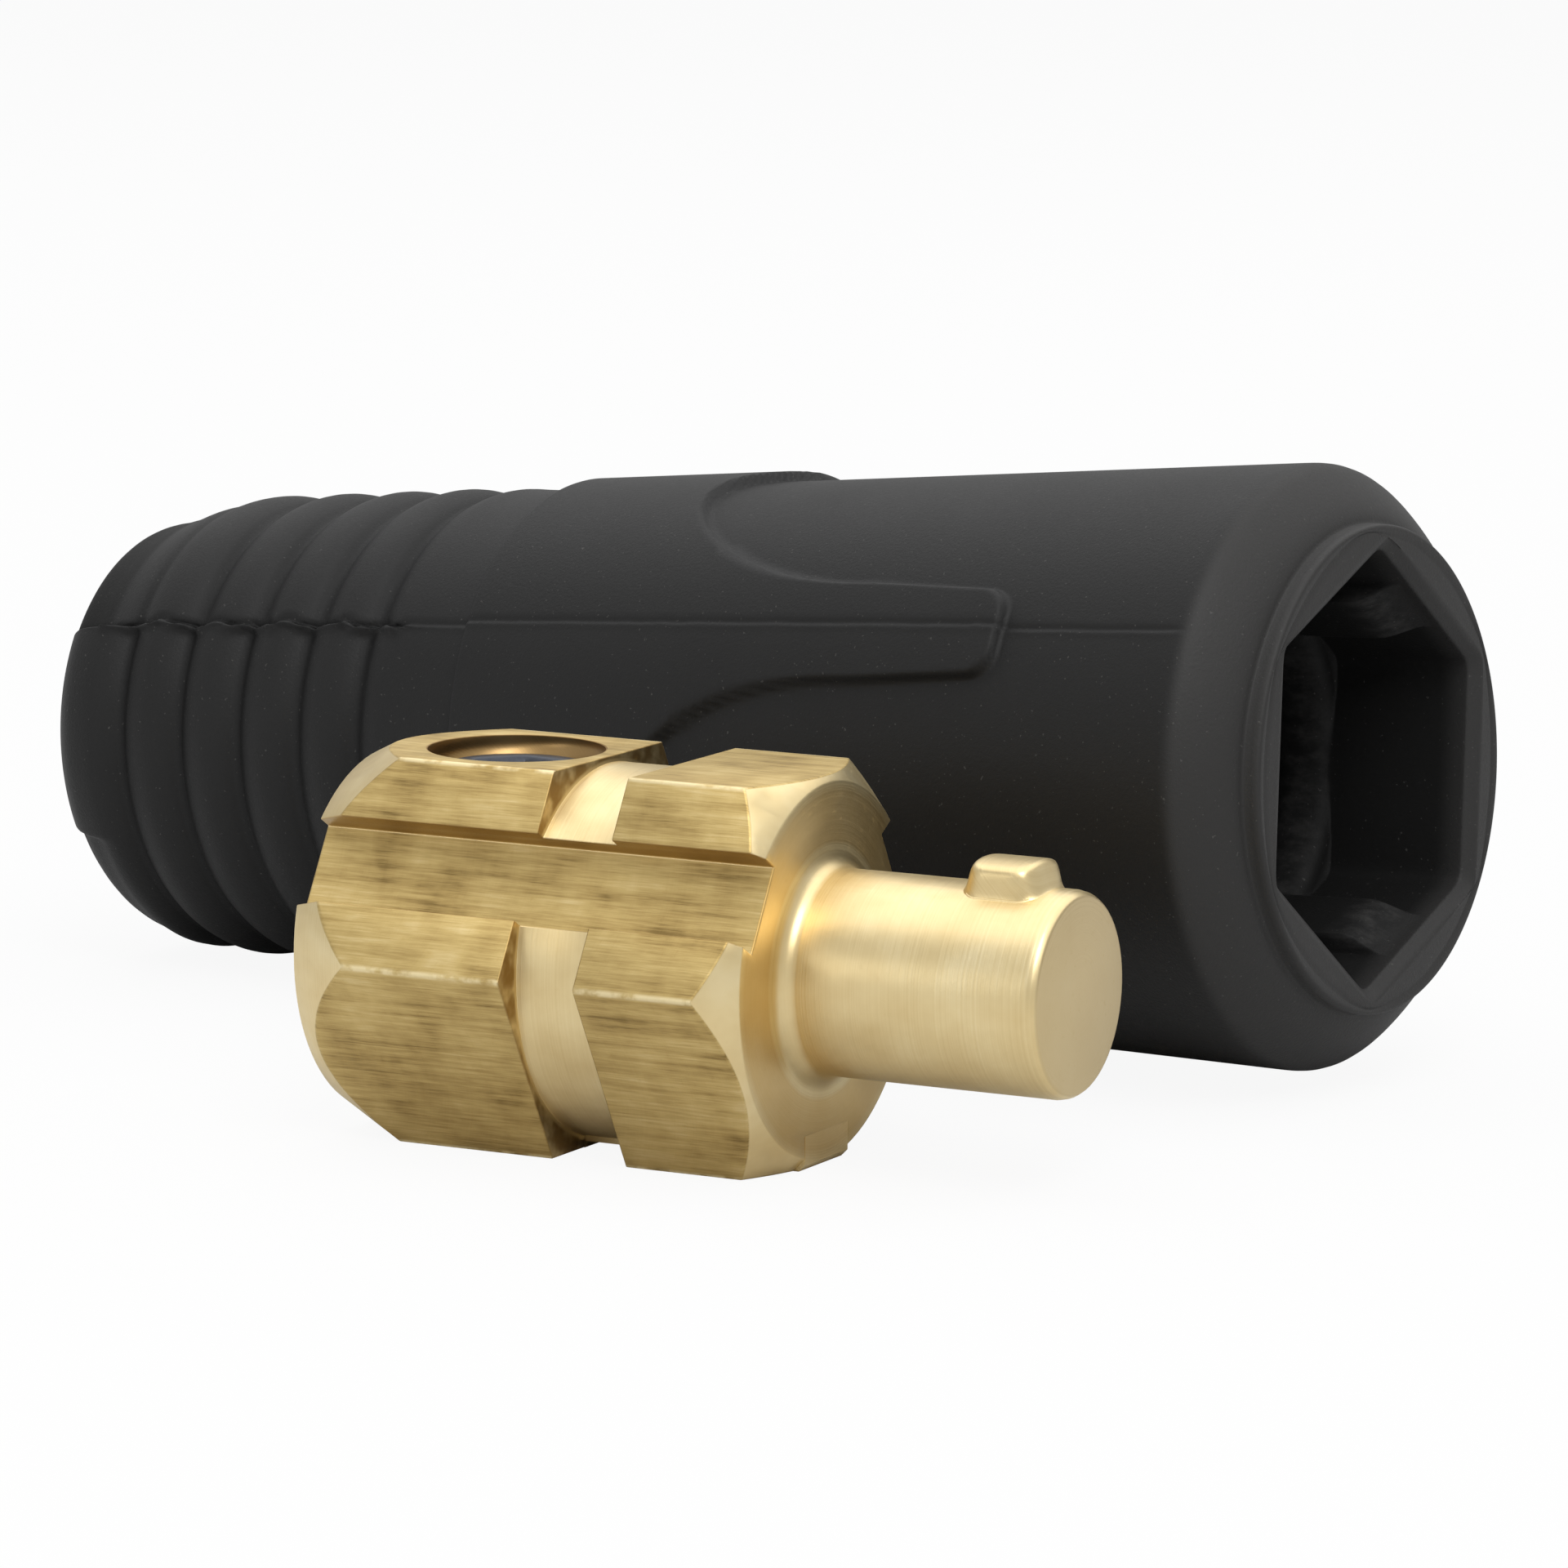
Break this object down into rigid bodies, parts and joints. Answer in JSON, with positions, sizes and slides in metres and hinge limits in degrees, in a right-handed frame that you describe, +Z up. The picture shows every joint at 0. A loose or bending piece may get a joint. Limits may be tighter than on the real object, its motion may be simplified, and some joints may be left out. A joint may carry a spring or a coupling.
{
  "type": "welding cable plug",
  "caption": "Welding cable plug in its two pieces: a milled hexagon brass contact with a bayonet pin and clamp screw, and its ribbed rubber sleeve.",
  "frame": {"origin": "on the table, in the middle of the space that the contact and the sleeve take side by side", "axes": "+X runs along the contact towards its pin, +Y from the contact towards the sleeve, +Z up"},
  "size_m": [0.0701, 0.054, 0.0284],
  "materials": {
    "sleeve_rubber": "matt moulded rubber",
    "contact_brass": "drawn flats, turned ends",
    "screw_steel": "blued"
  },
  "bodies": {
    "plug": {"insulating_sleeve": "sleeve_rubber", "contact_body": "contact_brass"},
    "screw": {"clamp_screw": "screw_steel"}
  },
  "joints": [
    {"name": "screw_travel", "type": "slide", "parent": "plug", "child": "screw", "axis": [0, 0, 1], "range_m": [-0.0025, 0.00375]}
  ]
}
